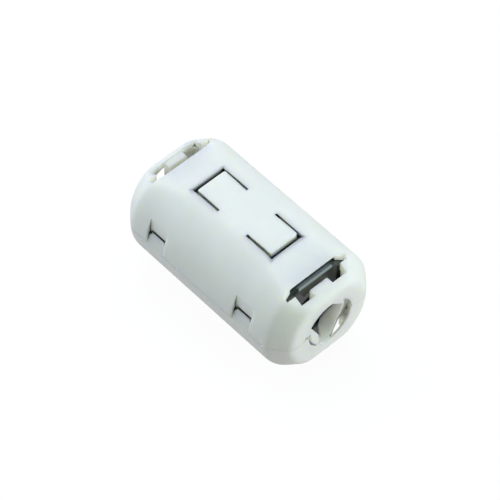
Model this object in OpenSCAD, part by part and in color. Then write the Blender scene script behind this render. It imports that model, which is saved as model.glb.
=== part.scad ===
// Clip-on ferrite bead: a hinged plastic case in two half shells that closes
// two half cores of sintered ferrite around a round cable.
//
// Frame: X along the cable, +Z up through the upper shell, the latches on
// the -Y side and the film hinge on the +Y side. The origin is the centre of
// the cable passage, on the parting plane of the two shells.

/* [Case] */
// Length over the two end faces
case_len = 35; // [34:0.5:37]
// Diameter of the round barrel
case_d = 19.5; // [19.4:0.1:20]
// Length of the barrel between the end chamfers
barrel_len = 29; // [28.8:0.1:29.4]
// Diameter of the flat ring left on each end face
end_face_d = 14.2; // [13.6:0.1:14.8]
// Height over the flats on top and bottom
flat_height = 18.4; // [18.2:0.1:18.8]
// Thickness of the end walls at the cable hole
end_wall = 0.45; // [0.4:0.05:0.5]
// Width of the parting line between the closed shells
seam = 0.1; // [0.06:0.02:0.14]

/* [Ferrite core] */
// Length of the two half cores
core_len = 28; // [27.9:0.1:28.1]
// How far the loose cores have slid towards the front end
core_shift = 0.2; // [0:0.05:0.2]
// Outside diameter of the closed core
core_d = 16.7; // [16.4:0.1:16.7]
// Bore of the closed core
core_bore_d = 9; // [8.8:0.1:9.2]
// Height over the ground flats of the closed core
core_height = 15.5; // [15:0.1:15.6]
// Play between the core and its pocket, all round
core_play = 0.1; // [0.05:0.01:0.12]

/* [Cable claws] */
// Diameter of the cable hole's upper half
upper_hole_d = 8.6; // [8.5:0.1:8.8]
// Diameter of the cable hole's lower half
lower_hole_d = 8.2; // [8.1:0.1:8.3]
// Inner diameter of the curved claws of the lower shell
claw_d = 7.6; // [7.5:0.1:7.6]
// Radial thickness of the curved claws
claw_wall = 0.8; // [0.6:0.1:0.9]

/* [End windows] */
// Length of each window along the case
window_len = 2.55; // [2.4:0.05:2.7]
// Width of the upper shell's windows
window_w = 8.6; // [8.4:0.1:9]
// Width of the lower shell's windows
lower_window_w = 9.2; // [8.4:0.1:9.2]
// Width over the two side notches of each window
notch_w = 11.5; // [10.6:0.1:11.6]
// Length of the side notches
notch_len = 1.15; // [1:0.05:1.3]
// Width of the core stop that stands into each window
stop_w = 3.3; // [3:0.1:3.6]

/* [Pressing tongues] */
// Distance from the middle of the case to a tongue's root
tongue_root = 2.95; // [2.6:0.05:3.2]
// Length of a tongue from its root to its tip
tongue_len = 4.75; // [4.4:0.05:5]
// Width over the slots beside a tongue
tongue_slots_w = 5.95; // [5.6:0.05:6]
// Width of the slots beside a tongue
side_slot = 0.38; // [0.3:0.02:0.44]
// Width of the slot at a tongue's tip
tip_slot = 0.65; // [0.5:0.05:0.7]
// Height of a tongue's tip over the flat
tongue_rise = 0.18; // [0.1:0.02:0.24]

/* [Latches] */
// Distance of each latch from the middle of the case
latch_x = 9.1; // [8.8:0.1:9.4]
// Width of the recess round a latch
latch_recess_w = 3.7; // [3.6:0.1:3.9]
// Width of the latch tongue
latch_w = 3.4; // [3.2:0.1:3.4]
// Height of the latch tongue over the parting plane
latch_h = 2.05; // [2:0.05:2.1]

/* [Hinge] */
// Distance of each hinge film from the middle of the case
film_x = 7.5; // [7:0.1:8]
// Length of each hinge film along the case
film_len = 6; // [5:0.5:6.5]
// Thickness of the hinge films
film_t = 0.2; // [0.15:0.05:0.25]

/* [Hidden] */
$fn = 96;

case_r = case_d / 2;
case_end = case_len / 2;
end_face_r = end_face_d / 2;
flat_z = flat_height / 2;
far = 60;           // reach of cutting blocks past the part
lap = 0.5;          // overlap of hollows that run into one another
tuck = 0.1;         // overlap of small forms joined to a wall
edge = 0.45;        // eased length along each side of the outer edges

// Side view of the case: a flat middle, a gentle fall to the crease at the
// window, and a steeper fall from there to the end face.
flat_end_x = 7;
crease_x = 13.45;
crease_z = flat_z - 1;
end_z = flat_z - 2.95;

// Core pocket and the end chambers in which the cable claws flex
core_r = core_d / 2;
core_z = core_height / 2;
core_edge = 0.35;
core_gap = 0.06;
pocket_r = core_r + core_play;
pocket_z = core_z + core_play;
pocket_end = core_len / 2 + core_shift + core_play;
chamber_end = case_end - end_wall;
chamber_edge = [16.2, 6.6];
chamber_r = 8.2;
chamber_z = 6.1;

// Ribs that wall off the claws from the rest of each end chamber
rib_t = 0.8;
rib_room_w = 9;
rib_room_r = 4.9;

// Cable claws: their stretches in degrees, counted from +Y towards +Z, and
// the outline in plan, as points [x, y], that the finger keeps
upper_hole_r = upper_hole_d / 2;
lower_hole_r = lower_hole_d / 2;
claw_r = claw_d / 2;
claw_x = [13.9, 17.25];
claw_arc = [-132, 8];
claw_plan = [
    [15.9, -4.7], [15.9, -0.55], [15.1, 0], [14.45, 0.5], [14, 1.3], [13.9, 2], [13.95, 2.6],
    [14.4, 3.35], [15.2, 3.9], [15.6, 4.7], [16.1, 4.7], [15.95, 3], [16.35, 1.85], [16.65, 1.2],
    [16.9, 0.55], [17.25, 0], [17.25, -4.7]
];
claw_tip_r = 4.2;
claw_taper = 1;
claw_mouth = [16, 3.7];
claw_mouth_r = 4;

// Hook and tooth of the upper shell's end walls, as points [y, z]
hook_r = 3.75;
hook_root_z = 0.7;
hook_len = 0.9;
hook_wedge = [[-3.92, 2.49], [-2.25, -0.62], [-1.9, -4.2], [-5.5, -4.2], [-5.5, 2.49]];
hook_relief = [-4.5, 0.4];
hook_relief_r = 0.38;
hook_slot_w = 1;
tooth_wedge = [[-0.15, 4.73], [2.61, 2.28], [2.52, 4.7]];
root_r = upper_hole_r + 0.3;

// Windows: the roof is cut back underneath to a thin lip, the stop's top lies
// below the sloping roof, and in the upper shell the stop hangs down to the
// cable's room
window_x = [crease_x, crease_x + window_len];
window_lip = 0.15;
window_undercut = 0.95;
notch_slant = 0.35;
stop_x = window_x[1] - 1.25;
stop_z = 6.85;
upper_stop_r = 4.4;
lower_stop_r = chamber_r;

// Pressing tongues: the roof's thin lip round them, the tip's thickness and
// the rounds of the tip's corners and top edge
slot_lip = 0.3;
slot_hollow = 0.25;
tip_hollow = 0.8;
tongue_tip_t = 0.95;
tongue_corner_r = 0.35;
tongue_edge_r = 0.35;
tongue_half_w = tongue_slots_w / 2 - side_slot;
tongue_tip_x = tongue_root + tongue_len;

// Latches, as points [y, z] of the recess, the keeper and the tongue
latch_y = -case_r;
recess_top = 4.65;
slot_top = 2.65;
slot_end_y = -7;
recess_floor = [[-8.57, recess_top], [-8.88, slot_top]];
keeper_y = -8.75;
keeper_top = 0.85;
slot_w = 3.3;
barb_w = 3;
barb_y = -8.5;
barb_z = [0.95, 1.15, 1.95];
latch_foot = 0.6;
latch_inner_y = -8.82;
latch_tip_y = -9.05;
latch_corner_r = 0.7;
dot_r = 0.3;
dot_x = 4.45;
dot_depth = 0.4;

// Film hinge: the films bulge out in a half ring from a face cut on the shells
film_y = 9.35;
film_r = 0.4;
film_notch_z = 0.75;
film_play = 0.15;

// A point at distance d from a on the way to b
function toward(a, b, d) = a + (b - a) * d / norm(b - a);

// An outline's half at negative x followed by its mirror image
function both_halves(points) =
    concat(points, [for (i = [len(points) - 1:-1:0]) [-points[i][0], points[i][1]]]);

// A point on a circle of radius r, at angle a
function polar(r, a) = [r * cos(a), r * sin(a)];

// Turns a drawing in Y and Z into a bar that lies along X, from x0 to x1
module bar_x(x0, x1) {
    translate([x0, 0, 0])
        rotate([90, 0, 90])
            linear_extrude(x1 - x0)
                children();
}

// Turns a drawing in X and Z into a bar across the case, along Y
module bar_y(width) {
    rotate([90, 0, 0])
        linear_extrude(width, center = true)
            children();
}

// Turns a half outline, as points [x, radius], about the cable axis
module turned(outline) {
    rotate([0, 90, 0])
        rotate_extrude()
            polygon([for (p = outline) [p[1], p[0]]]);
}

module both_ends() {
    children();
    mirror([1, 0, 0])
        children();
}

// Keeps what lies above (1) or below (-1) the parting plane
module half(side, gap) {
    intersection() {
        children();
        translate([0, 0, side * (gap + far) / 2])
            cube(far, center = true);
    }
}

module flip_z(side) {
    if (side > 0)
        children();
    else
        mirror([0, 0, 1])
            children();
}

// A ring sector along X, between two angles of less than 180 degrees apart
module sector_x(x0, x1, r0, r1, arc) {
    mid = (arc[0] + arc[1]) / 2;
    bar_x(x0, x1)
        intersection() {
            difference() {
                circle(r1);
                circle(r0);
            }
            polygon([[0, 0], polar(far, arc[0]), polar(far, mid), polar(far, arc[1])]);
        }
}

// ---- Case ----

module case_form() {
    barrel_corner = [-barrel_len / 2, case_r];
    end_corner = [-case_end, end_face_r];
    barrel = both_halves([
        [-case_end, 0],
        [-case_end, end_face_r - edge],
        toward(end_corner, barrel_corner, edge),
        toward(barrel_corner, end_corner, edge),
        [-barrel_len / 2 + edge, case_r]
    ]);
    crease = [-crease_x, crease_z];
    side_end = [-case_end, end_z];
    top = both_halves([
        [-case_end, 0],
        [-case_end, end_z - edge],
        toward(side_end, crease, edge),
        crease,
        [-flat_end_x, flat_z]
    ]);
    intersection() {
        turned(barrel);
        bar_y(far)
            union() {
                polygon(top);
                mirror([0, 1])
                    polygon(top);
            }
    }
}

module case_hollow(hole_r, stop_r) {
    intersection() {
        turned([[-pocket_end, 0], [-pocket_end, pocket_r], [pocket_end, pocket_r], [pocket_end, 0]]);
        cube([far, far, 2 * pocket_z], center = true);
    }
    both_ends()
        difference() {
            intersection() {
                turned([
                    [pocket_end - lap, 0],
                    [pocket_end - lap, chamber_r],
                    [pocket_end, chamber_r],
                    chamber_edge,
                    [chamber_end, hole_r],
                    [chamber_end, 0]
                ]);
                cube([far, far, 2 * chamber_z], center = true);
            }
            bar_x(window_x[0] + notch_len, far)
                difference() {
                    claw_room(rib_t);
                    claw_room(0);
                }
            bar_x(stop_x, window_x[1])
                difference() {
                    square([stop_w, far], center = true);
                    circle(stop_r);
                }
        }
    bar_x(-far, far)
        circle(hole_r);
}

// The room round the claws between the ribs, grown outwards by extra
module claw_room(extra) {
    square([rib_room_w + 2 * extra, far], center = true);
    circle(rib_room_r + extra);
}

// The window through the roof at each end, round the stop that holds the core
module windows(side, width) {
    w = width / 2;
    n = notch_w / 2;
    slanted = window_x[0] + notch_slant;
    side_end = window_x[0] + notch_len;
    half_outline = [
        [window_x[0], w - notch_slant],
        [slanted, n],
        [side_end, n],
        [side_end, w],
        [window_x[1], w]
    ];
    lip_z = crease_z - window_lip;
    flip_z(side)
        both_ends() {
            difference() {
                translate([0, 0, chamber_z - tuck])
                    linear_extrude(far)
                        for (s = [0, 1])
                            mirror([0, s])
                                polygon(concat([[window_x[1], 0], [window_x[0], 0]], half_outline));
                translate([stop_x, -stop_w / 2, 0])
                    cube([window_len, stop_w, stop_z]);
            }
            bar_y(width)
                polygon([
                    [window_x[0], lip_z],
                    [window_x[0] - window_undercut, lip_z - window_undercut],
                    [window_x[0] + tuck, lip_z - window_undercut],
                    [window_x[0] + tuck, lip_z]
                ]);
        }
}

// A pressing tongue seen from above, with the corners of its tip rounded
module tongue_plan() {
    straight = tongue_half_w - tongue_corner_r;
    translate([tongue_root - 1, -tongue_half_w])
        square([tongue_len + 1 - tongue_corner_r, 2 * tongue_half_w]);
    translate([tongue_root, -straight])
        square([tongue_len, 2 * straight]);
    for (y = [-straight, straight])
        translate([tongue_tip_x - tongue_corner_r, y])
            circle(tongue_corner_r);
}

// The strip round three sides of a tongue, grown outwards by extra
module tongue_margin(extra) {
    difference() {
        translate([tongue_root, -tongue_slots_w / 2 - extra])
            square([tongue_len + tip_slot + extra, tongue_slots_w + 2 * extra]);
        tongue_plan();
    }
}

// The slots on three sides of each pressing tongue, and the hollow that thins
// the roof round them and the tongue's own tip
module tongue_slots(side) {
    floor_z = pocket_z - lap;
    flip_z(side)
        both_ends() {
            translate([0, 0, floor_z])
                linear_extrude(far)
                    tongue_margin(0);
            translate([0, 0, floor_z])
                linear_extrude(flat_z - slot_lip - floor_z)
                    tongue_margin(slot_hollow);
            translate([tongue_tip_x - tip_hollow, -tongue_slots_w / 2, floor_z])
                cube([tip_hollow + tuck, tongue_slots_w, flat_z - tongue_tip_t - floor_z]);
        }
}

// The wedge by which each tongue rises from the flat towards its tip
module tongue_wedges(side) {
    flip_z(side)
        both_ends()
            intersection() {
                linear_extrude(far)
                    tongue_plan();
                bar_y(far)
                    polygon([
                        [tongue_root, flat_z - tuck],
                        [tongue_tip_x, flat_z - lap],
                        [tongue_tip_x, flat_z + tongue_rise],
                        [tongue_root, flat_z]
                    ]);
            }
}

// The round that eases the top edge of each tongue's tip
module tongue_edges(side) {
    flip_z(side)
        both_ends()
            bar_y(tongue_slots_w)
                translate([tongue_tip_x - tongue_edge_r, flat_z + tongue_rise - tongue_edge_r])
                    difference() {
                        square(tongue_edge_r + tuck);
                        circle(tongue_edge_r);
                    }
}

// A shell before its own claws and latch parts: side is 1 above, -1 below
module shell(side, hole_r, window_width, stop_r) {
    half(side, seam)
        difference() {
            union() {
                difference() {
                    case_form();
                    case_hollow(hole_r, stop_r);
                    tongue_slots(side);
                }
                tongue_wedges(side);
            }
            tongue_edges(side);
            windows(side, window_width);
            film_notches();
            seam_dots();
        }
}

// Small round pits across the parting line beside each latch
module seam_dots() {
    for (x = [-latch_x, latch_x])
        translate([x + dot_x, latch_y + dot_depth, 0])
            rotate([90, 0, 0])
                cylinder(h = far, r = dot_r);
}

// ---- Cable claws ----

// The hook that reaches past the parting plane, and the tooth beside it
module upper_claws() {
    both_ends()
        bar_x(case_end - hook_len, case_end) {
            intersection() {
                circle(hook_r);
                polygon(hook_wedge);
            }
            intersection() {
                circle(root_r);
                polygon(hook_wedge);
                translate([-far, hook_root_z])
                    square(far);
            }
            intersection() {
                circle(root_r);
                polygon(tooth_wedge);
            }
        }
}

// The round-ended slot that frees the hook from the wall beside it
module hook_reliefs() {
    both_ends()
        bar_x(chamber_end - lap, far)
            translate(hook_relief) {
                circle(hook_relief_r);
                translate([-hook_relief_r, -1])
                    square([hook_slot_w, 1]);
            }
}

// The curved claw behind each end wall, joined to it below the cable. Its tip
// narrows to pass the edge of the core's bore and its mouth widens outwards.
module lower_claws() {
    outer_r = claw_r + claw_wall;
    both_ends()
        intersection() {
            sector_x(claw_x[0], claw_x[1], claw_r, outer_r, claw_arc);
            translate([0, 0, -far / 2])
                linear_extrude(far)
                    polygon(claw_plan);
            turned([
                [claw_x[0], 0],
                [claw_x[0], claw_tip_r],
                [claw_x[0] + claw_taper, outer_r + tuck],
                [claw_x[1], outer_r + tuck],
                [claw_x[1], claw_mouth_r],
                claw_mouth,
                [claw_mouth[0], 0]
            ]);
        }
}

// ---- Latches ----

module latch_openings() {
    for (x = [-latch_x, latch_x]) {
        bar_x(x - latch_recess_w / 2, x + latch_recess_w / 2)
            polygon([
                [-far, recess_top],
                recess_floor[0],
                recess_floor[1],
                [keeper_y, keeper_top],
                [keeper_y, -1],
                [-far, -1]
            ]);
        bar_x(x - slot_w / 2, x + slot_w / 2)
            polygon([
                [latch_y, slot_top],
                [slot_end_y, slot_top],
                [slot_end_y, keeper_top],
                [latch_y, keeper_top]
            ]);
    }
}

// A latch tongue's outline seen from the side of the case, top corners rounded
module latch_face() {
    corner = latch_w / 2 - latch_corner_r;
    for (x = [-corner, corner])
        translate([x, latch_h - latch_corner_r])
            circle(latch_corner_r);
    translate([-corner, 0])
        square([2 * corner, latch_h]);
    translate([-latch_w / 2, -latch_foot])
        square([latch_w, latch_h - latch_corner_r + latch_foot]);
}

module latch_tongues() {
    for (x = [-latch_x, latch_x]) {
        intersection() {
            translate([x, 0, 0])
                bar_y(far)
                    latch_face();
            bar_x(x - latch_w / 2, x + latch_w / 2)
                polygon([
                    [latch_y + 0.02, 0.1],
                    [latch_tip_y, latch_h],
                    [latch_inner_y, latch_h],
                    [latch_inner_y, -latch_foot],
                    [latch_y + 0.15, -latch_foot]
                ]);
        }
        bar_x(x - barb_w / 2, x + barb_w / 2)
            polygon([
                [latch_inner_y - tuck, barb_z[0]],
                [barb_y, barb_z[0]],
                [barb_y, barb_z[1]],
                [latch_inner_y, barb_z[2]],
                [latch_inner_y - tuck, barb_z[2]]
            ]);
    }
}

// ---- Hinge ----

module film_notches() {
    for (x = [-film_x, film_x])
        translate([x - film_len / 2 - film_play, film_y, -film_notch_z])
            cube([film_len + 2 * film_play, far, 2 * film_notch_z]);
}

// ---- The parts ----

module upper_case() {
    color("whitesmoke") {
        difference() {
            shell(1, upper_hole_r, window_w, upper_stop_r);
            latch_openings();
            hook_reliefs();
        }
        upper_claws();
    }
}

module lower_case() {
    color("whitesmoke") {
        shell(-1, lower_hole_r, lower_window_w, lower_stop_r);
        lower_claws();
        latch_tongues();
    }
}

module half_core(side) {
    end = core_len / 2;
    translate([core_shift, 0, 0])
        half(side, core_gap)
            difference() {
                intersection() {
                    turned(both_halves([
                        [-end, 0],
                        [-end, core_r - core_edge],
                        [-end + core_edge, core_r]
                    ]));
                    bar_y(far)
                        polygon(concat(
                            [for (s = [-1, 1]) [s * (end - core_edge), core_z]],
                            [for (s = [1, -1]) [end, s * (core_z - core_edge)]],
                            [for (s = [1, -1]) [s * (end - core_edge), -core_z]],
                            [for (s = [-1, 1]) [-end, s * (core_z - core_edge)]]
                        ));
                }
                bar_x(-far, far)
                    circle(core_bore_d / 2);
            }
}

module upper_core() {
    color("dimgray")
        half_core(1);
}

module lower_core() {
    color("dimgray")
        half_core(-1);
}

// The two thin strips of the same moulding that the shells turn on
module hinge_films() {
    color("whitesmoke")
        for (x = [-film_x, film_x])
            bar_x(x - film_len / 2, x + film_len / 2)
                translate([film_y, 0])
                    intersection() {
                        difference() {
                            circle(film_r);
                            circle(film_r - film_t);
                        }
                        translate([0, -far])
                            square([far, 2 * far]);
                    }
}

upper_case();
lower_case();
upper_core();
lower_core();
hinge_films();
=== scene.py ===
import math

import bmesh
import bpy
import numpy as np
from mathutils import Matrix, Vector


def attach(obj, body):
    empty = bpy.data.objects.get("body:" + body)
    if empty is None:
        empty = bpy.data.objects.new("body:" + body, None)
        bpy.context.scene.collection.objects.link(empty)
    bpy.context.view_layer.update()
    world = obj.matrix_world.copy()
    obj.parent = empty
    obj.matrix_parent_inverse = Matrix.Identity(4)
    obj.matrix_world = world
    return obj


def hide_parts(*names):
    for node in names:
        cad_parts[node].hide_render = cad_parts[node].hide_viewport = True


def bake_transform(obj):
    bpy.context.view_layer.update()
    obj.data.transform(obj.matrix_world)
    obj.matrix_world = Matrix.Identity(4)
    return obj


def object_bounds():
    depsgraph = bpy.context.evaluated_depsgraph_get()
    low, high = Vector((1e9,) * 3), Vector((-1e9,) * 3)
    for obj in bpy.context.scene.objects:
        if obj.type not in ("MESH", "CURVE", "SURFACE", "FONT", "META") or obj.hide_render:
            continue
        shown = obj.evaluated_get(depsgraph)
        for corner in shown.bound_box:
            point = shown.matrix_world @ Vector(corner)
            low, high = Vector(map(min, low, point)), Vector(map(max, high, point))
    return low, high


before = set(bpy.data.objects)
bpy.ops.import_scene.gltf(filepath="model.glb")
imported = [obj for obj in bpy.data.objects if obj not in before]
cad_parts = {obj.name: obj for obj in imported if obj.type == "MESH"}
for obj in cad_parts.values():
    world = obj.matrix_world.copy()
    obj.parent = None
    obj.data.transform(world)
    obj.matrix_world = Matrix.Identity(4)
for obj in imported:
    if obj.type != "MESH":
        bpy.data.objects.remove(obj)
cad_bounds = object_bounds()
scene = bpy.context.scene
MM = 0.001

# ---- Camera ----
# A long lens looks down on the front end and the latch side of the bead.
VIEW_AZIMUTH = 47.48
VIEW_ELEVATION = 53.52
VIEW_DISTANCE = 393.3 * MM
VIEW_TARGET = Vector((0.216, 0.359, 0)) * MM
LENS = 196.2

azimuth = math.radians(VIEW_AZIMUTH)
elevation = math.radians(VIEW_ELEVATION)
towards_camera = Vector((
    math.sin(azimuth) * math.cos(elevation),
    -math.cos(azimuth) * math.cos(elevation),
    math.sin(elevation),
))
camera = bpy.data.objects.new("camera", bpy.data.cameras.new("camera"))
scene.collection.objects.link(camera)
camera.location = VIEW_TARGET + towards_camera * VIEW_DISTANCE
camera.rotation_euler = towards_camera.to_track_quat("Z", "Y").to_euler()
camera.data.lens = LENS
camera.data.sensor_width = 36
camera.data.clip_start = 0.01
scene.camera = camera


# ---- Case shells ----
# Two half shells of white polyamide, injection moulded in one with their pressing tongues, latch
# tongues and cable claws. The mould gives every outer edge a soft round, and the spark-eroded
# cavity gives the skin a fine satin grain.
# The sizes are in mm, and x and z are counted from the middle of the case.
BARREL_R = 9.75
BARREL_END = 14.5      # x where the end chamfer starts
CASE_END = 17.5        # x of the end face
END_FACE_R = 7.1
FLAT_Z = 9.2
FLAT_END = 7.0         # x where the flat starts to fall
CREASE = (13.45, 8.2)  # x and z where it falls more steeply
END_Z = 6.25           # its z at the end face
EDGE = 0.45            # eased length along each side of an outer edge
EDGE_SHARPNESS = 13.0  # per mm: the higher, the tighter the round
CROWN_SHARPNESS = 4.5  # the same for the wide blend between flat and barrel
SKIN_EDGE = 0.45       # longest edge of the outer skin's triangles
SKIN_ROUNDS = 12       # most times that its edges are halved
SKIN_BAND = 0.05       # how deep below the plain skin a point still counts as on it
SKIN_DEPTH = 0.6       # how deep below the skin the rounding still moves points
SLOPE_STEP = 0.001     # step for the skin's slope
MERGE = 0.001          # points closer than this are one
SLIVER = 0.0005        # edges shorter than this are closed up
SMOOTH_ANGLE = 32      # degrees


def corner(a, b, distance):
    """The point at that distance from a on the way to b."""
    a, b = np.array(a, float), np.array(b, float)
    return a + (b - a) * distance / np.linalg.norm(b - a)


def lines_outside(points):
    """Outward normals and offsets of the lines of an outline that runs towards the end face."""
    rows = []
    for a, b in zip(points, points[1:]):
        d = np.array(b, float) - np.array(a, float)
        n = np.array((-d[1], d[0])) / np.linalg.norm(d)
        if n[1] < 0 or (abs(n[1]) < 1e-9 and n[0] < 0):
            n = -n
        rows.append((n[0], n[1], n @ np.array(a, float)))
    return rows


barrel_corner, face_corner = (BARREL_END, BARREL_R), (CASE_END, END_FACE_R)
BARREL_LINES = lines_outside([
    (0, BARREL_R),
    (BARREL_END - EDGE, BARREL_R),
    corner(barrel_corner, face_corner, EDGE),
    corner(face_corner, barrel_corner, EDGE),
    (CASE_END, END_FACE_R - EDGE),
    (CASE_END, 0),
])
TOP_LINES = lines_outside([
    (0, FLAT_Z),
    (FLAT_END, FLAT_Z),
    CREASE,
    corner((CASE_END, END_Z), CREASE, EDGE),
    (CASE_END, END_Z - EDGE),
    (CASE_END, 0),
])


def soft_max(rows, sharpness):
    """A maximum with its kinks rounded, and so never below the plain maximum."""
    rows = np.array(rows)
    high = rows.max(0)
    return high + np.log(np.exp(sharpness * (rows - high)).sum(0)) / sharpness


def line_distances(lines, along, out):
    return [nx * along + nz * out - offset for nx, nz, offset in lines]


def case_skin(p):
    """Plain and rounded distance of points, in mm, above the closed case's outer skin."""
    x, z, r = np.abs(p[:, 0]), np.abs(p[:, 2]), np.hypot(p[:, 1], p[:, 2])
    barrel = line_distances(BARREL_LINES, x, r)
    top = line_distances(TOP_LINES, x, z)
    plain = np.array(barrel + top).max(0)
    rounded = soft_max(
        [soft_max(barrel, EDGE_SHARPNESS), soft_max(top, EDGE_SHARPNESS)], CROWN_SHARPNESS
    )
    return plain, rounded


def points_of(vertices):
    return np.array([v.co for v in vertices], float).reshape(-1, 3) / MM


def soften(node, name, body):
    """A copy of a shell's CAD node whose outer skin is dense and has its edges rounded over."""
    bm = bmesh.new()
    bm.from_mesh(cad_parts[node].data)
    bmesh.ops.remove_doubles(bm, verts=bm.verts, dist=MERGE * MM)
    bmesh.ops.dissolve_degenerate(bm, edges=bm.edges, dist=SLIVER * MM)

    # halve the long edges of the outer skin
    for _ in range(SKIN_ROUNDS):
        plain, _rounded = case_skin(points_of(bm.verts))
        for v, d in zip(bm.verts, plain):
            v.tag = bool(d > -SKIN_BAND)
        long_edges = [
            e for e in bm.edges
            if e.calc_length() > SKIN_EDGE * MM and e.verts[0].tag and e.verts[1].tag
        ]
        if not long_edges:
            break
        bmesh.ops.subdivide_edges(bm, edges=long_edges, cuts=1)
        bmesh.ops.triangulate(bm, faces=[f for f in bm.faces if len(f.verts) > 3])

    # draw its points in from the plain skin to the rounded one
    p = points_of(bm.verts)
    plain, rounded = case_skin(p)
    slope = np.stack([
        (case_skin(p + SLOPE_STEP * axis)[1] - case_skin(p - SLOPE_STEP * axis)[1])
        / (2 * SLOPE_STEP) for axis in np.eye(3)
    ], axis=1)
    slope /= np.linalg.norm(slope, axis=1, keepdims=True)
    weight = np.clip(1 + (plain + SKIN_BAND) / SKIN_DEPTH, 0, 1)
    moved = p - slope * ((rounded - plain) * weight)[:, None]
    for v, co in zip(bm.verts, moved):
        v.co = Vector(co * MM)
    sharp = math.radians(SMOOTH_ANGLE)
    for f in bm.faces:
        f.smooth = True
    for e in bm.edges:
        e.smooth = len(e.link_faces) == 2 and e.calc_face_angle(0) < sharp
    mesh = bpy.data.meshes.new(name)
    bm.to_mesh(mesh)
    bm.free()
    piece = bpy.data.objects.new(name, mesh)
    scene.collection.objects.link(piece)
    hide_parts(node)
    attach(piece, body)
    return piece


upper_shell = soften("upper_case", "upper_shell", "upper_half")
lower_shell = soften("lower_case", "lower_shell", "lower_half")


def srgb(text):
    """A hex colour as linear values."""
    channels = [int(text[i:i + 2], 16) / 255 for i in (0, 2, 4)]
    return tuple(
        c / 12.92 if c <= 0.04045 else ((c + 0.055) / 1.055) ** 2.4 for c in channels
    ) + (1,)


def add(tree, kind, inputs=None, stops=None, **settings):
    """Adds a node; each input, by name or number, is set to a value or linked to a socket, and
    stops are the positions and colours of a colour ramp."""
    made = tree.nodes.new(kind)
    for key, value in settings.items():
        setattr(made, key, value)
    for key, value in (inputs or {}).items():
        if isinstance(value, bpy.types.NodeSocket):
            tree.links.new(value, made.inputs[key])
        else:
            made.inputs[key].default_value = value
    if stops:
        points = made.color_ramp.elements
        points.remove(points[1])
        points[0].position, points[0].color = stops[0]
        for position, colour in stops[1:]:
            points.new(position).color = colour
    return made


def per_mm(size):
    """The scale that gives a pattern that size in mm on Object coordinates, which are in metres."""
    return 1 / (size * MM)


def new_material(name):
    made = bpy.data.materials.new(name)
    made.use_nodes = True
    made.node_tree.nodes.clear()
    return made, made.node_tree


# Polyamide 66, uncoloured white, moulded in a spark-eroded cavity: a broad soft sheen, a grain of
# about 0.05 mm drawn at 0.16 mm so that it shows, and a faint waviness where thick walls sank.
# Narrow slots get painted shade: where facing walls are near, the base colour is darkened to olive
# and near black. The rooms at the ends, the claws in them and the parting line get painted glow:
# an emission that brightens them, strongest where the walls close round.
NYLON_WHITE = "F4F5F2"
NYLON_SHADE = "F0F2EE"
# colours of the painted slot shade, from near black through olive to a wall's own colour
SLOT_PAINTED_DARK = "1C1F1E"
SLOT_PAINTED_OLIVE = "A3A692"
# tint of the painted glow
PAINTED_GLOW_COLOUR = "FCFCEC"
OPEN = (1, 1, 1, 1)    # an open wall keeps its own colour
WAVE_SIZE = 5          # mm
GRAIN_SIZE = 0.16      # mm
SOAK = 1.1             # how far light wanders inside the resin, mm
# Painted slot shade: how near a facing wall has to be to darken a wall's colour, in mm; the painted
# light that a slot keeps at each height over the parting plane, counted in shares of SLOT_HEIGHT,
# in mm; and what is taken off it inside the case and in the thin end face, with where one gives
# way, in mm.
SLOT_REACH = 0.6
SLOT_HEIGHT = 10
SLOT_PAINTED_LIGHT = ((0.03, 1), (0.19, 0.3), (0.3, 0.35), (0.4, 0.5), (0.775, 0.5), (0.79, 0.2))
SLOT_SHADE = (0.5, 0.25)
SLOT_SHADE_X = (16.6, 17)
# End rooms, for the painted glow: how far off a facing wall still counts and where the rooms start,
# in mm; their painted glow at the cable hole and at the window, with the heights of the two, in mm.
ROOM_REACH = 5.0
ROOM_X = (13.1, 13.4)
ROOM_GLOW = (0.02, 0.3)
ROOM_GLOW_Z = (4, 6)
# Parting line: its painted glow, and the heights over which that ends, in mm.
SEAM_GLOW = 0.075
SEAM_GLOW_Z = (1, 2)
# Claws: the radius and height that they lie within; their painted glow at the root and near the
# tip; where it ends; and how much of it the underside and the flank get. Lengths are in mm.
CLAW_R = 4.05
CLAW_TOP = 0.7
CLAW_GLOW = (0.06, 0.25)
CLAW_GLOW_X = (14, 16.6)
CLAW_TIP_X = (16.7, 16.9)
CLAW_SIDE = (0.3, 1.3)
CLAW_SIDE_Z = (-3.6, -2.4)
nylon, tree = new_material("moulded_white_polyamide_painted_shade_glow")
place = add(tree, "ShaderNodeTexCoord")
split = add(tree, "ShaderNodeSeparateXYZ", {"Vector": place.outputs["Object"]})
along = add(tree, "ShaderNodeMath", {0: split.outputs["X"]}, operation="ABSOLUTE")
above = add(tree, "ShaderNodeMath", {0: split.outputs["Z"]}, operation="ABSOLUTE")

# white with faint clouds
clouds = add(tree, "ShaderNodeTexNoise", {
    "Vector": place.outputs["Object"], "Scale": per_mm(WAVE_SIZE), "Detail": 2, "Roughness": 0.5})
tint = add(tree, "ShaderNodeValToRGB", {"Fac": clouds.outputs["Fac"]},
           stops=((0.35, srgb(NYLON_SHADE)), (0.65, srgb(NYLON_WHITE))))

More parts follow.
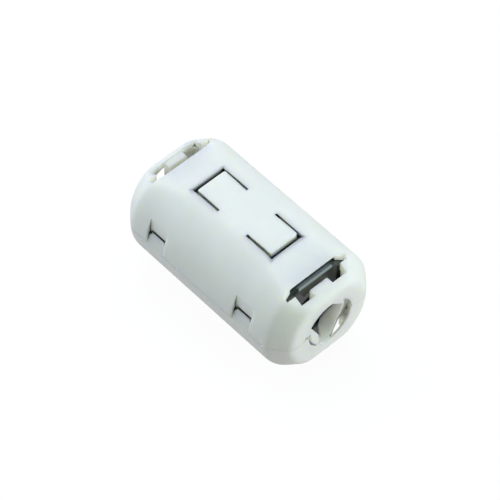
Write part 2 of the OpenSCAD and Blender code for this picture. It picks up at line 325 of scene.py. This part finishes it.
# painted shade in the slots: the colour darkens to olive and near black where walls face closely
openness = add(tree, "ShaderNodeAmbientOcclusion", {"Distance": SLOT_REACH * MM}, samples=8)
level = add(tree, "ShaderNodeMath", {
    0: above.outputs["Value"], 1: SLOT_HEIGHT * MM}, operation="DIVIDE")
slot_painted_light = add(tree, "ShaderNodeValToRGB", {"Fac": level.outputs["Value"]},
                 stops=[(position, (grey, grey, grey, 1)) for position, grey in SLOT_PAINTED_LIGHT])
openness_here = add(tree, "ShaderNodeMath", {
    0: openness.outputs["AO"], 1: slot_painted_light.outputs["Color"]}, operation="ADD")
slot_shade = add(tree, "ShaderNodeMapRange", {
    "Value": along.outputs["Value"],
    "From Min": SLOT_SHADE_X[0] * MM, "From Max": SLOT_SHADE_X[1] * MM,
    "To Min": SLOT_SHADE[0], "To Max": SLOT_SHADE[1]})
slot_depth = add(tree, "ShaderNodeMath", {
    0: openness_here.outputs["Value"], 1: slot_shade.outputs["Result"]}, operation="SUBTRACT")
painted_slot_shade = add(tree, "ShaderNodeValToRGB", {"Fac": slot_depth.outputs["Value"]},
            stops=((0.25, srgb(SLOT_PAINTED_DARK)), (0.45, srgb(SLOT_PAINTED_OLIVE)), (0.6, OPEN)))
tint_and_painted_shade = add(tree, "ShaderNodeMix", {
    0: 1.0, 6: tint.outputs["Color"], 7: painted_slot_shade.outputs["Color"]},
    data_type="RGBA", blend_type="MULTIPLY")

# painted glow in the end rooms and along the parting line, strongest where the walls close round
enclosure = add(tree, "ShaderNodeAmbientOcclusion", {"Distance": ROOM_REACH * MM}, samples=8)
painted_glow_share = add(tree, "ShaderNodeMapRange", {
    "Value": enclosure.outputs["AO"], "From Min": 0.1, "From Max": 0.7, "To Min": 1, "To Max": 0})
end_room = add(tree, "ShaderNodeMapRange", {
    "Value": along.outputs["Value"], "From Min": ROOM_X[0] * MM, "From Max": ROOM_X[1] * MM,
    "To Min": 0, "To Max": 1})
room_glow = add(tree, "ShaderNodeMapRange", {
    "Value": above.outputs["Value"],
    "From Min": ROOM_GLOW_Z[0] * MM, "From Max": ROOM_GLOW_Z[1] * MM,
    "To Min": ROOM_GLOW[0], "To Max": ROOM_GLOW[1]})
seam_glow = add(tree, "ShaderNodeMapRange", {
    "Value": above.outputs["Value"],
    "From Min": SEAM_GLOW_Z[0] * MM, "From Max": SEAM_GLOW_Z[1] * MM,
    "To Min": SEAM_GLOW, "To Max": 0})

# painted glow on the claws
across = add(tree, "ShaderNodeCombineXYZ", {"Y": split.outputs["Y"], "Z": split.outputs["Z"]})
radius = add(tree, "ShaderNodeVectorMath", {0: across.outputs["Vector"]}, operation="LENGTH")
in_bore = add(tree, "ShaderNodeMath", {0: radius.outputs["Value"], 1: CLAW_R * MM},
              operation="LESS_THAN")
low = add(tree, "ShaderNodeMath", {0: split.outputs["Z"], 1: CLAW_TOP * MM},
          operation="LESS_THAN")
on_claw = add(tree, "ShaderNodeMath", {
    0: in_bore.outputs["Value"], 1: low.outputs["Value"]}, operation="MULTIPLY")
claw_tip = add(tree, "ShaderNodeMapRange", {
    "Value": along.outputs["Value"],
    "From Min": CLAW_TIP_X[0] * MM, "From Max": CLAW_TIP_X[1] * MM, "To Min": 1, "To Max": 0})
claw_part = add(tree, "ShaderNodeMath", {
    0: on_claw.outputs["Value"], 1: claw_tip.outputs["Result"]}, operation="MULTIPLY")
claw_side = add(tree, "ShaderNodeMapRange", {
    "Value": split.outputs["Z"],
    "From Min": CLAW_SIDE_Z[0] * MM, "From Max": CLAW_SIDE_Z[1] * MM,
    "To Min": CLAW_SIDE[0], "To Max": CLAW_SIDE[1]})
claw_fade = add(tree, "ShaderNodeMath", {
    0: claw_part.outputs["Value"], 1: claw_side.outputs["Result"]}, operation="MULTIPLY")
claw_glow = add(tree, "ShaderNodeMapRange", {
    "Value": along.outputs["Value"],
    "From Min": CLAW_GLOW_X[0] * MM, "From Max": CLAW_GLOW_X[1] * MM,
    "To Min": CLAW_GLOW[0], "To Max": CLAW_GLOW[1]})
claw_light = add(tree, "ShaderNodeMath", {
    0: claw_fade.outputs["Value"], 1: claw_glow.outputs["Result"]}, operation="MULTIPLY")

# all of the painted glow together, tinted as the painted slot shade is
painted_hollow_glow = add(tree, "ShaderNodeMath", {
    0: painted_glow_share.outputs["Result"], 1: room_glow.outputs["Result"], 2: claw_light.outputs["Value"]},
    operation="MULTIPLY_ADD")
painted_gap_glow = add(tree, "ShaderNodeMath", {
    0: painted_glow_share.outputs["Result"], 1: seam_glow.outputs["Result"]}, operation="MULTIPLY")
painted_glow_strength = add(tree, "ShaderNodeMath", {
    0: painted_hollow_glow.outputs["Value"], 1: end_room.outputs["Result"], 2: painted_gap_glow.outputs["Value"]},
    operation="MULTIPLY_ADD")
painted_glow_tint = add(tree, "ShaderNodeMix", {
    0: 1.0, 6: srgb(PAINTED_GLOW_COLOUR), 7: painted_slot_shade.outputs["Color"]},
    data_type="RGBA", blend_type="MULTIPLY")

# grain, waviness and soft edges
grain = add(tree, "ShaderNodeTexNoise", {
    "Vector": place.outputs["Object"], "Scale": per_mm(GRAIN_SIZE), "Detail": 3, "Roughness": 0.6})
sheen_patches = add(tree, "ShaderNodeMapRange", {
    "Value": grain.outputs["Fac"], "From Min": 0.3, "From Max": 0.7, "To Min": 0.4, "To Max": 0.52})
soft_edges = add(tree, "ShaderNodeBevel", {"Radius": 0.12 * MM}, samples=6)
waves = add(tree, "ShaderNodeBump", {
    "Height": clouds.outputs["Fac"], "Distance": 0.03 * MM, "Strength": 0.5,
    "Normal": soft_edges.outputs["Normal"]})
skin_grain = add(tree, "ShaderNodeBump", {
    "Height": grain.outputs["Fac"], "Distance": 0.004 * MM, "Strength": 0.6,
    "Normal": waves.outputs["Normal"]})
# The base colour carries the painted slot shade, and the emission is the painted glow.
resin = add(tree, "ShaderNodeBsdfPrincipled", {
    "Base Color": tint_and_painted_shade.outputs[2], "Roughness": sheen_patches.outputs["Result"],
    "Subsurface Weight": 1.0, "Subsurface Radius": (1.0, 0.96, 0.72), "Subsurface Scale": SOAK * MM,
    "IOR": 1.53, "Normal": skin_grain.outputs["Normal"],
    "Emission Color": painted_glow_tint.outputs[2], "Emission Strength": painted_glow_strength.outputs["Value"]})
add(tree, "ShaderNodeOutputMaterial", {"Surface": resin.outputs["BSDF"]})
for shell in (upper_shell, lower_shell):
    shell.data.materials.append(nylon)


# ---- Ferrite half cores ----
# Two half cylinders of manganese-zinc ferrite, pressed and sintered, with the two faces that meet
# ground flat. The sintered skin is a dark grey ceramic, dull along its length and with a glint on
# the chamfers at its ends; its grain clusters are drawn coarse enough to show.
FERRITE_DARK = "0B0F10"
FERRITE_LIGHT = "1A2021"
GRAIN_CLUSTER = 0.22   # mm
DUST_SIZE = 1.4        # mm
GLINT_X = (13.6, 13.9)      # mm: where the dull length ends, and where the glint starts
DULLNESS = 0.35             # added to the roughness of the dull length
ferrite, tree = new_material("sintered_ferrite")
place = add(tree, "ShaderNodeTexCoord")
grains = add(tree, "ShaderNodeTexVoronoi", {
    "Vector": place.outputs["Object"], "Scale": per_mm(GRAIN_CLUSTER)}, feature="F1")
dust = add(tree, "ShaderNodeTexNoise", {
    "Vector": place.outputs["Object"], "Scale": per_mm(DUST_SIZE), "Detail": 5,
    "Roughness": 0.65})
mottle = add(tree, "ShaderNodeMath", {0: grains.outputs["Distance"], 1: dust.outputs["Fac"]},
             operation="MULTIPLY")
tone = add(tree, "ShaderNodeValToRGB", {"Fac": mottle.outputs["Value"]},
           stops=((0.05, srgb(FERRITE_DARK)), (0.5, srgb(FERRITE_LIGHT))))
glint = add(tree, "ShaderNodeMapRange", {
    "Value": dust.outputs["Fac"], "From Min": 0.3, "From Max": 0.7,
    "To Min": 0.13, "To Max": 0.22})
split = add(tree, "ShaderNodeSeparateXYZ", {"Vector": place.outputs["Object"]})
along = add(tree, "ShaderNodeMath", {0: split.outputs["X"]}, operation="ABSOLUTE")
dull = add(tree, "ShaderNodeMapRange", {
    "Value": along.outputs["Value"],
    "From Min": GLINT_X[0] * MM, "From Max": GLINT_X[1] * MM,
    "To Min": DULLNESS, "To Max": 0})
rough = add(tree, "ShaderNodeMath", {
    0: glint.outputs["Result"], 1: dull.outputs["Result"]}, operation="ADD")
round_edge = add(tree, "ShaderNodeBevel", {"Radius": 0.5 * MM}, samples=12)
pores = add(tree, "ShaderNodeBump", {
    "Height": mottle.outputs["Value"], "Distance": 0.02 * MM, "Strength": 0.7,
    "Normal": round_edge.outputs["Normal"]})
ceramic = add(tree, "ShaderNodeBsdfPrincipled", {
    "Base Color": tone.outputs["Color"], "Roughness": rough.outputs["Value"],
    "IOR": 1.9, "Specular Tint": (0.88, 1, 1, 1), "Normal": pores.outputs["Normal"]})
add(tree, "ShaderNodeOutputMaterial", {"Surface": ceramic.outputs["BSDF"]})
for node in ("upper_core", "lower_core"):
    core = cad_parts[node]
    core.data.materials.clear()
    core.data.materials.append(ferrite)


# ---- Hinge films ----
# Two thin strips left between the shells when they are moulded flat, which bend into a half ring
# as the case is shut. They are the same polyamide, thin enough to bend many times.
FILM_X = 7.5           # mm, from the middle of the case to the middle of each film
FILM_LENGTH = 6.0      # mm
FILM_Y = 9.35          # mm, centre of the half ring
FILM_RADIUS = 0.3      # mm, to the middle of the film
FILM_THICKNESS = 0.2   # mm
FILM_EDGE = 0.05       # mm
FILM_SEGMENTS = 28
FILM_SMOOTH_ANGLE = 40      # degrees

film_tree = bpy.data.node_groups.new("film_hinge", "GeometryNodeTree")
for name, kind, value in (
    ("Radius", "NodeSocketFloat", FILM_RADIUS * MM),
    ("Thickness", "NodeSocketFloat", FILM_THICKNESS * MM),
    ("Edge", "NodeSocketFloat", FILM_EDGE * MM),
    ("Length", "NodeSocketFloat", FILM_LENGTH * MM),
    ("Spacing", "NodeSocketFloat", 2 * FILM_X * MM),
    ("Seat", "NodeSocketFloat", FILM_Y * MM),
    ("Segments", "NodeSocketInt", FILM_SEGMENTS),
):
    film_tree.interface.new_socket(name, in_out="INPUT", socket_type=kind).default_value = value
film_tree.interface.new_socket("Material", in_out="INPUT", socket_type="NodeSocketMaterial")
film_tree.interface.new_socket("Geometry", in_out="OUTPUT", socket_type="NodeSocketGeometry")
given = add(film_tree, "NodeGroupInput")
arc = add(film_tree, "GeometryNodeCurveArc", {
    "Resolution": given.outputs["Segments"], "Radius": given.outputs["Radius"],
    "Start Angle": -math.pi / 2, "Sweep Angle": math.pi})
section = add(film_tree, "GeometryNodeCurvePrimitiveQuadrilateral", {
    "Width": given.outputs["Thickness"], "Height": given.outputs["Length"]})
eased = add(film_tree, "GeometryNodeFilletCurve", {
    "Curve": section.outputs["Curve"], "Radius": given.outputs["Edge"], "Count": 3},
    mode="POLY")
strip = add(film_tree, "GeometryNodeCurveToMesh", {
    "Curve": arc.outputs["Curve"], "Profile Curve": eased.outputs["Curve"], "Fill Caps": True})
seat = add(film_tree, "ShaderNodeCombineXYZ", {"Y": given.outputs["Seat"]})
turned = add(film_tree, "GeometryNodeTransform", {
    "Geometry": strip.outputs["Mesh"], "Translation": seat.outputs["Vector"],
    "Rotation": (math.pi / 2, 0, math.pi / 2)})
half = add(film_tree, "ShaderNodeMath", {0: given.outputs["Spacing"], 1: -0.5},
           operation="MULTIPLY")
first = add(film_tree, "ShaderNodeCombineXYZ", {"X": half.outputs["Value"]})
apart = add(film_tree, "ShaderNodeCombineXYZ", {"X": given.outputs["Spacing"]})
places = add(film_tree, "GeometryNodeMeshLine", {
    "Count": 2, "Start Location": first.outputs["Vector"], "Offset": apart.outputs["Vector"]})
films = add(film_tree, "GeometryNodeInstanceOnPoints", {
    "Points": places.outputs["Mesh"], "Instance": turned.outputs["Geometry"]})
solid = add(film_tree, "GeometryNodeRealizeInstances", {"Geometry": films.outputs["Instances"]})
finished = add(film_tree, "GeometryNodeSetMaterial", {
    "Geometry": solid.outputs["Geometry"], "Material": given.outputs["Material"]})
add(film_tree, "NodeGroupOutput", {"Geometry": finished.outputs["Geometry"]})

holder = bpy.data.objects.new("film_holder", bpy.data.meshes.new("film_holder"))
scene.collection.objects.link(holder)
modifier = holder.modifiers.new("film_hinge", "NODES")
modifier.node_group = film_tree
for item in film_tree.interface.items_tree:
    if item.in_out == "INPUT" and item.name == "Material":
        modifier[item.identifier] = nylon
strips = bpy.data.meshes.new_from_object(
    holder.evaluated_get(bpy.context.evaluated_depsgraph_get()))
strips.name = "film_strips"
bpy.data.objects.remove(holder)
film_strips = bpy.data.objects.new("film_strips", strips)
scene.collection.objects.link(film_strips)
for polygon in strips.polygons:
    polygon.use_smooth = True
strips.set_sharp_from_angle(angle=math.radians(FILM_SMOOTH_ANGLE))
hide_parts("hinge_films")
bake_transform(film_strips)


# ---- Floor and light ----
# The bead lies on a plain white table in a pale room. Four soft boxes light it from the sides and
# from behind: a cool one low on the latch side, a stronger one low by the front end, and two high
# up, over the hinge side and the back end. The table itself lights nothing: the paler lower half of
# the room stands for the light that it throws back up at the underside.
FLOOR_Z = cad_bounds[0].z - 0.02 * MM
FLOOR_SIZE = 1200 * MM
TABLE_GREY = "5A5A5A"
TABLE_LIGHT = 0.92
bpy.ops.mesh.primitive_plane_add(size=FLOOR_SIZE, location=(0, 0, FLOOR_Z))
table = bpy.context.object
table.name = "table"
table_white, tree = new_material("white_table")
top = add(tree, "ShaderNodeBsdfPrincipled", {
    "Base Color": srgb(TABLE_GREY), "Roughness": 0.9, "Specular IOR Level": 0,
    "Emission Color": (1, 1, 1, 1), "Emission Strength": TABLE_LIGHT})
add(tree, "ShaderNodeOutputMaterial", {"Surface": top.outputs["BSDF"]})
table.data.materials.append(table_white)
table.visible_diffuse = False
table.visible_glossy = False
table.visible_shadow = False

BOX_DISTANCE = 400 * MM
BOX_WIDTH = 400 * MM
# Name, azimuth from +X towards +Y and elevation in degrees, power in watts, colour
SOFT_BOXES = (
    ("light_latch_side", 213, 18, 0.73, (0.71, 0.85, 1)),
    ("light_front_end", 31, 15, 1.1, (0.93, 1, 0.99)),
    ("light_hinge_side", 130, 65, 0.82, (0.72, 0.78, 1)),
    ("light_back_end", 180, 50, 0.5, (1, 0.86, 0.77)),
)
for name, box_azimuth, box_elevation, power, colour in SOFT_BOXES:
    lamp = bpy.data.lights.new(name, "AREA")
    lamp.shape = "DISK"
    lamp.size = BOX_WIDTH
    lamp.energy = power
    lamp.color = colour
    box = bpy.data.objects.new(name, lamp)
    scene.collection.objects.link(box)
    around, up = math.radians(box_azimuth), math.radians(box_elevation)
    away = Vector((math.cos(up) * math.cos(around), math.cos(up) * math.sin(around), math.sin(up)))
    box.location = away * BOX_DISTANCE
    box.rotation_euler = away.to_track_quat("Z", "Y").to_euler()

ROOM_LIGHT_BELOW = (0.5, 0.48, 0.49, 1)
ROOM_LIGHT_ABOVE = (0.18, 0.24, 0.18, 1)
HORIZON = (-0.1, 0.1)
scene.world = bpy.data.worlds.new("studio")
scene.world.use_nodes = True
tree = scene.world.node_tree
tree.nodes.clear()
way = add(tree, "ShaderNodeTexCoord")
split = add(tree, "ShaderNodeSeparateXYZ", {"Vector": way.outputs["Generated"]})
rise = add(tree, "ShaderNodeMapRange", {
    "Value": split.outputs["Z"], "From Min": HORIZON[0], "From Max": HORIZON[1],
    "To Min": 0, "To Max": 1})
room = add(tree, "ShaderNodeMix", {
    0: rise.outputs["Result"], 6: ROOM_LIGHT_BELOW, 7: ROOM_LIGHT_ABOVE}, data_type="RGBA")
glow = add(tree, "ShaderNodeBackground", {"Color": room.outputs[2], "Strength": 1.0})
add(tree, "ShaderNodeOutputWorld", {"Surface": glow.outputs["Background"]})
scene.view_settings.view_transform = "Standard"
